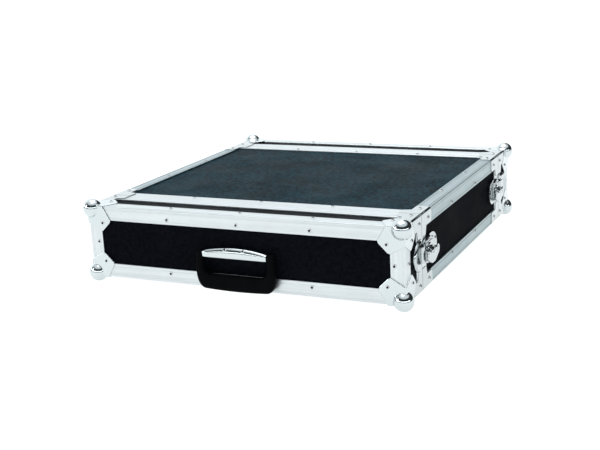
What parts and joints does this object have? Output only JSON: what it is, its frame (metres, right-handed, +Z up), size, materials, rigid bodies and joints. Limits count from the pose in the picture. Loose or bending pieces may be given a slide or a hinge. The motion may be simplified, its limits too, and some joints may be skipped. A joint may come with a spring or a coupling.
{
  "type": "rack effects flight case",
  "caption": "Low rectangular rack case for 19-inch effects gear: black laminated boards, aluminium edges, ball corners, butterfly latches, lift-off front and rear covers and a folding handle.",
  "frame": {"origin": "bottom middle of the whole object's box, under the ball corners", "axes": "+X to the right seen from the front cover, +Y from the front cover to the rear cover, +Z up"},
  "size_m": [0.545, 0.5824, 0.1335],
  "materials": {
    "black_laminate": "plywood faced with a fine-grained black laminate, satin",
    "aluminium_profile": "bright extruded aluminium with fine lengthwise die lines",
    "bright_steel": "pressed steel, bright plated",
    "rail_steel": "black powder-coated steel",
    "foam": "dark open-cell foam",
    "grip_plastic": "moulded black plastic, satin"
  },
  "bodies": {
    "body": {"body_top_panel": "black_laminate", "body_bottom_panel": "black_laminate", "body_left_panel": "black_laminate", "body_right_panel": "black_laminate", "body_edge_top_left": "aluminium_profile", "body_edge_top_right": "aluminium_profile", "body_edge_bottom_left": "aluminium_profile", "body_edge_bottom_right": "aluminium_profile", "front_body_frame": "aluminium_profile", "rear_body_frame": "aluminium_profile", "front_left_rack_rail": "rail_steel", "front_right_rack_rail": "rail_steel", "rear_left_rack_rail": "rail_steel", "rear_right_rack_rail": "rail_steel", "front_left_latch_base": "bright_steel", "front_right_latch_base": "bright_steel", "rear_left_latch_base": "bright_steel", "rear_right_latch_base": "bright_steel"},
    "front_cover": {"front_cover_board": "black_laminate", "front_cover_rim": "black_laminate", "front_cover_frame": "aluminium_profile", "front_cover_foam": "foam", "front_cover_edge_top": "aluminium_profile", "front_cover_edge_bottom": "aluminium_profile", "front_cover_edge_left": "aluminium_profile", "front_cover_edge_right": "aluminium_profile", "front_cover_corner_top_left": "bright_steel", "front_cover_corner_top_right": "bright_steel", "front_cover_corner_bottom_left": "bright_steel", "front_cover_corner_bottom_right": "bright_steel", "front_left_latch_catch": "bright_steel", "front_right_latch_catch": "bright_steel", "handle_bracket": "bright_steel"},
    "rear_cover": {"rear_cover_board": "black_laminate", "rear_cover_rim": "black_laminate", "rear_cover_frame": "aluminium_profile", "rear_cover_foam": "foam", "rear_cover_edge_top": "aluminium_profile", "rear_cover_edge_bottom": "aluminium_profile", "rear_cover_edge_left": "aluminium_profile", "rear_cover_edge_right": "aluminium_profile", "rear_cover_corner_top_left": "bright_steel", "rear_cover_corner_top_right": "bright_steel", "rear_cover_corner_bottom_left": "bright_steel", "rear_cover_corner_bottom_right": "bright_steel", "rear_left_latch_catch": "bright_steel", "rear_right_latch_catch": "bright_steel"},
    "handle": {"handle_grip": "grip_plastic"},
    "front_left_spindle": {"front_left_latch_spindle": "bright_steel"},
    "front_left_wing": {"front_left_latch_wing": "bright_steel"},
    "front_left_claw": {"front_left_latch_claw": "bright_steel"},
    "front_right_spindle": {"front_right_latch_spindle": "bright_steel"},
    "front_right_wing": {"front_right_latch_wing": "bright_steel"},
    "front_right_claw": {"front_right_latch_claw": "bright_steel"},
    "rear_left_spindle": {"rear_left_latch_spindle": "bright_steel"},
    "rear_left_wing": {"rear_left_latch_wing": "bright_steel"},
    "rear_left_claw": {"rear_left_latch_claw": "bright_steel"},
    "rear_right_spindle": {"rear_right_latch_spindle": "bright_steel"},
    "rear_right_wing": {"rear_right_latch_wing": "bright_steel"},
    "rear_right_claw": {"rear_right_latch_claw": "bright_steel"}
  },
  "joints": [
    {"name": "front_cover_slide", "type": "slide", "parent": "body", "child": "front_cover", "axis": [0, -1, 0], "range_m": [0, 0.15]},
    {"name": "rear_cover_slide", "type": "slide", "parent": "body", "child": "rear_cover", "axis": [0, 1, 0], "range_m": [0, 0.15]},
    {"name": "handle_swing", "type": "hinge", "parent": "front_cover", "child": "handle", "pos_m": [0, -0.28375, 0.065], "axis": [-1, 0, 0], "range_deg": [0, 95]},
    {"name": "front_left_latch_turn", "type": "hinge", "parent": "body", "child": "front_left_spindle", "pos_m": [-0.269, -0.18245, 0.06675], "axis": [1, 0, 0], "range_deg": [0, 180]},
    {"name": "front_left_wing_fold", "type": "hinge", "parent": "front_left_spindle", "child": "front_left_wing", "pos_m": [-0.2694, -0.18245, 0.06675], "axis": [0, 1, 0], "range_deg": [0, 90]},
    {"name": "front_left_claw_slide", "type": "slide", "parent": "body", "child": "front_left_claw", "axis": [0, -1, 0], "range_m": [0, 0.0081]},
    {"name": "front_right_latch_turn", "type": "hinge", "parent": "body", "child": "front_right_spindle", "pos_m": [0.269, -0.18245, 0.06675], "axis": [1, 0, 0], "range_deg": [0, 180]},
    {"name": "front_right_wing_fold", "type": "hinge", "parent": "front_right_spindle", "child": "front_right_wing", "pos_m": [0.2694, -0.18245, 0.06675], "axis": [0, -1, 0], "range_deg": [0, 90]},
    {"name": "front_right_claw_slide", "type": "slide", "parent": "body", "child": "front_right_claw", "axis": [0, -1, 0], "range_m": [0, 0.0081]},
    {"name": "rear_left_latch_turn", "type": "hinge", "parent": "body", "child": "rear_left_spindle", "pos_m": [-0.269, 0.18795, 0.06675], "axis": [-1, 0, 0], "range_deg": [0, 180]},
    {"name": "rear_left_wing_fold", "type": "hinge", "parent": "rear_left_spindle", "child": "rear_left_wing", "pos_m": [-0.2694, 0.18795, 0.06675], "axis": [0, 1, 0], "range_deg": [0, 90]},
    {"name": "rear_left_claw_slide", "type": "slide", "parent": "body", "child": "rear_left_claw", "axis": [0, 1, 0], "range_m": [0, 0.0081]},
    {"name": "rear_right_latch_turn", "type": "hinge", "parent": "body", "child": "rear_right_spindle", "pos_m": [0.269, 0.18795, 0.06675], "axis": [-1, 0, 0], "range_deg": [0, 180]},
    {"name": "rear_right_wing_fold", "type": "hinge", "parent": "rear_right_spindle", "child": "rear_right_wing", "pos_m": [0.2694, 0.18795, 0.06675], "axis": [0, -1, 0], "range_deg": [0, 90]},
    {"name": "rear_right_claw_slide", "type": "slide", "parent": "body", "child": "rear_right_claw", "axis": [0, 1, 0], "range_m": [0, 0.0081]}
  ],
  "couplings": [
    {"joint": "front_left_claw_slide", "follows": "front_left_latch_turn", "m_per_rad": 0.002546},
    {"joint": "front_right_claw_slide", "follows": "front_right_latch_turn", "m_per_rad": 0.002546},
    {"joint": "rear_left_claw_slide", "follows": "rear_left_latch_turn", "m_per_rad": 0.002546},
    {"joint": "rear_right_claw_slide", "follows": "rear_right_latch_turn", "m_per_rad": 0.002546}
  ]
}
